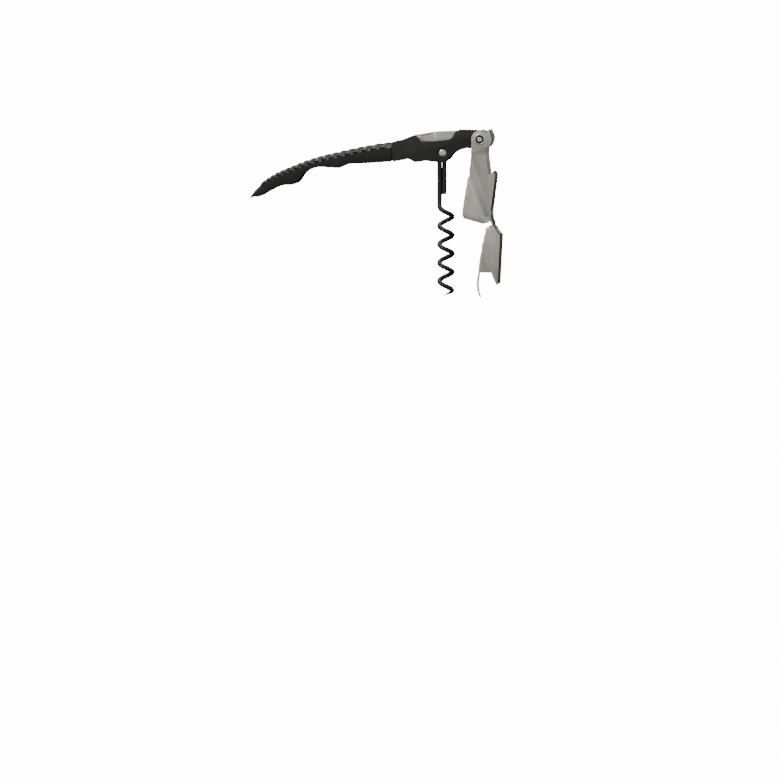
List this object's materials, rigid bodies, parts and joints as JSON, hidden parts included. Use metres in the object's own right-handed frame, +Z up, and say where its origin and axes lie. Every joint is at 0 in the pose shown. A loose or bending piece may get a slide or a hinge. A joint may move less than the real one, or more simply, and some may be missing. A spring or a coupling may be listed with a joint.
{
  "type": "lever corkscrew",
  "caption": "Double-lever corkscrew with a curved ribbed handle, a folding foil knife, a coated wire worm and a hinged two-stage boot lever with a crown cap opener.",
  "frame": {"origin": "centre of the bottle's mouth, on the worm's axis, at the level of the rim that the upper lever's seat rests on", "axes": "+Z up along the worm's axis, +X from the handle's tail towards the levers, +Y across the handle along the pins"},
  "size_m": [0.1239, 0.0168, 0.082],
  "materials": {
    "grip": "soft-touch matt black",
    "steel": "satin stainless steel",
    "polished": "polished rivet heads",
    "coated_wire": "satin black non-stick coating",
    "blade_steel": "ground blade steel",
    "bronze": "phosphor bronze"
  },
  "bodies": {
    "handle": {"rear_grip": "grip", "left_front_scale": "grip", "right_front_scale": "grip", "frame_cheeks": "steel", "frame_spine": "steel", "frame_rivets": "steel", "worm_pin": "polished", "worm_pin_caps": "polished", "worm_bushes": "steel", "lever_pin": "polished", "lever_pin_caps": "polished", "lever_washers": "steel", "knife_bushes": "steel", "knife_washers": "bronze", "detent_spring": "blade_steel", "detent_rivets": "steel"},
    "worm": {"worm": "coated_wire"},
    "upper_lever": {"upper_lever": "steel", "link_pin": "steel"},
    "lower_lever": {"lower_lever": "steel"},
    "knife": {"knife_blade": "blade_steel"}
  },
  "joints": [
    {"name": "lever_swing", "type": "hinge", "parent": "handle", "child": "upper_lever", "pos_m": [0.0174, 0, 0.041], "axis": [0, 1, 0], "range_deg": [-35, 72]},
    {"name": "lower_lever_swing", "type": "hinge", "parent": "upper_lever", "child": "lower_lever", "pos_m": [0.0209, 0, 0.0027], "axis": [0, 1, 0], "range_deg": [-90, 12]},
    {"name": "worm_swing", "type": "hinge", "parent": "handle", "child": "worm", "pos_m": [-0.001, 0, 0.0342], "axis": [0, 1, 0], "range_deg": [-39, 80]},
    {"name": "knife_swing", "type": "hinge", "parent": "handle", "child": "knife", "pos_m": [0.0174, 0, 0.041], "axis": [0, 1, 0], "range_deg": [0, 150]}
  ],
  "couplings": [
    {"joint": "worm_swing", "follows": "lever_swing", "ratio": 1.11}
  ]
}
